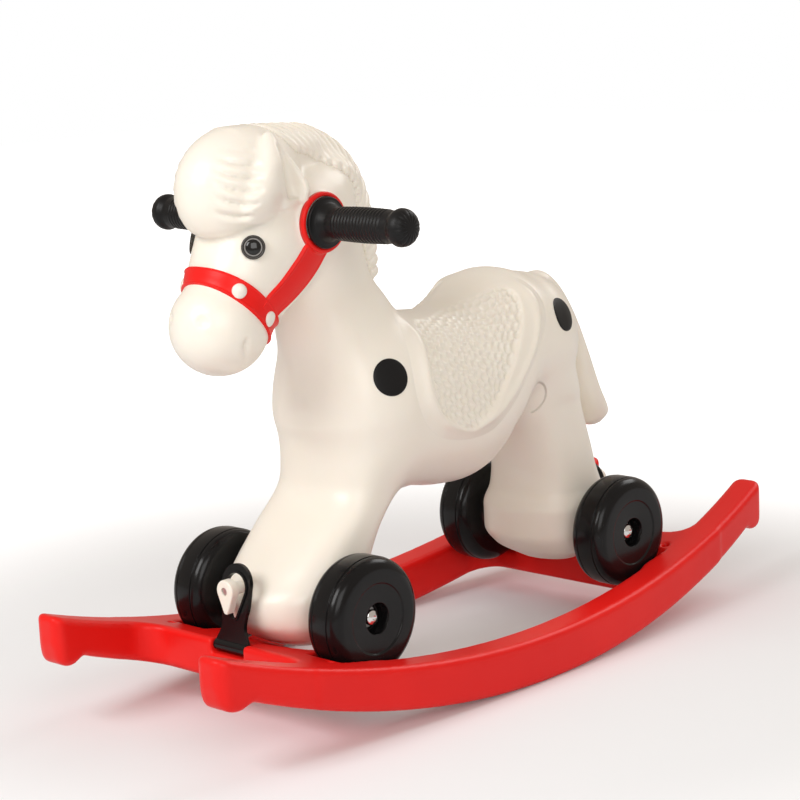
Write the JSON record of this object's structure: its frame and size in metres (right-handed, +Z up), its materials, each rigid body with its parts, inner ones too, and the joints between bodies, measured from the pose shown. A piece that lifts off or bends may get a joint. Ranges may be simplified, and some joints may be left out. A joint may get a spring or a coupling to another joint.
{
  "type": "rocking horse",
  "caption": "Child's hollow plastic pony on wheels, hooked onto a removable two-runner rocker base by a swinging latch and a turning knob at each end.",
  "frame": {"origin": "bottom centre: z = 0 at the rockers' lowest line, midway between the two axles and on the pony's middle plane", "axes": "X across with the pony's left side at +X, the pony faces -Y, Z up"},
  "size_m": [0.344, 0.806, 0.559],
  "materials": {
    "ivory": "smooth moulded polyethylene, soft gloss",
    "red": "moulded, glossy",
    "black_gloss": "glossy",
    "black_satin": "satin",
    "grey_clear": "glossy, translucent grey",
    "chrome": "plated",
    "steel": "zinc plated"
  },
  "bodies": {
    "pony_on_base": {"horse_body": "ivory", "rocker_base": "red", "axle_front": "steel", "axle_rear": "steel", "axle_cap_front_left": "chrome", "axle_cap_front_right": "chrome", "axle_cap_rear_left": "chrome", "axle_cap_rear_right": "chrome", "axle_washers": "steel", "handle_bar": "steel", "handle_grip_left": "black_satin", "handle_grip_right": "black_satin", "noseband": "red", "cheek_strap_left": "red", "cheek_strap_right": "red", "halter_rivets": "ivory", "eye_ring_left": "grey_clear", "eye_ring_right": "grey_clear", "eye_left": "black_gloss", "eye_right": "black_gloss", "spot_shoulder_left": "black_gloss", "spot_shoulder_right": "black_gloss", "spot_haunch_left": "black_gloss", "spot_haunch_right": "black_gloss", "latch_pin_front": "steel", "latch_pin_rear": "steel", "knob_screw_front": "steel", "knob_screw_rear": "steel"},
    "knob_front": {"knob_front": "ivory"},
    "knob_rear": {"knob_rear": "ivory"},
    "latch_front": {"latch_front": "black_satin"},
    "latch_rear": {"latch_rear": "black_satin"},
    "wheel_front_left": {"wheel_front_left": "black_gloss"},
    "wheel_front_right": {"wheel_front_right": "black_gloss"},
    "wheel_rear_left": {"wheel_rear_left": "black_gloss"},
    "wheel_rear_right": {"wheel_rear_right": "black_gloss"}
  },
  "joints": [
    {"name": "wheel_front_left_spin", "type": "hinge", "parent": "pony_on_base", "child": "wheel_front_left", "pos_m": [0.094, -0.192, 0.1], "axis": [1, 0, 0], "continuous": true},
    {"name": "wheel_front_right_spin", "type": "hinge", "parent": "pony_on_base", "child": "wheel_front_right", "pos_m": [-0.094, -0.192, 0.1], "axis": [1, 0, 0], "continuous": true},
    {"name": "latch_front_swing", "type": "hinge", "parent": "pony_on_base", "child": "latch_front", "pos_m": [0, -0.272, 0.0725], "axis": [1, 0, 0], "range_deg": [0, 90]},
    {"name": "knob_front_turn", "type": "hinge", "parent": "pony_on_base", "child": "knob_front", "pos_m": [0, -0.27, 0.128], "axis": [0, 1, 0], "range_deg": [-90, 90]},
    {"name": "wheel_rear_left_spin", "type": "hinge", "parent": "pony_on_base", "child": "wheel_rear_left", "pos_m": [0.094, 0.192, 0.1], "axis": [1, 0, 0], "continuous": true},
    {"name": "wheel_rear_right_spin", "type": "hinge", "parent": "pony_on_base", "child": "wheel_rear_right", "pos_m": [-0.094, 0.192, 0.1], "axis": [1, 0, 0], "continuous": true},
    {"name": "latch_rear_swing", "type": "hinge", "parent": "pony_on_base", "child": "latch_rear", "pos_m": [0, 0.272, 0.0725], "axis": [-1, 0, 0], "range_deg": [0, 90]},
    {"name": "knob_rear_turn", "type": "hinge", "parent": "pony_on_base", "child": "knob_rear", "pos_m": [0, 0.27, 0.128], "axis": [0, 1, 0], "range_deg": [-90, 90]}
  ]
}
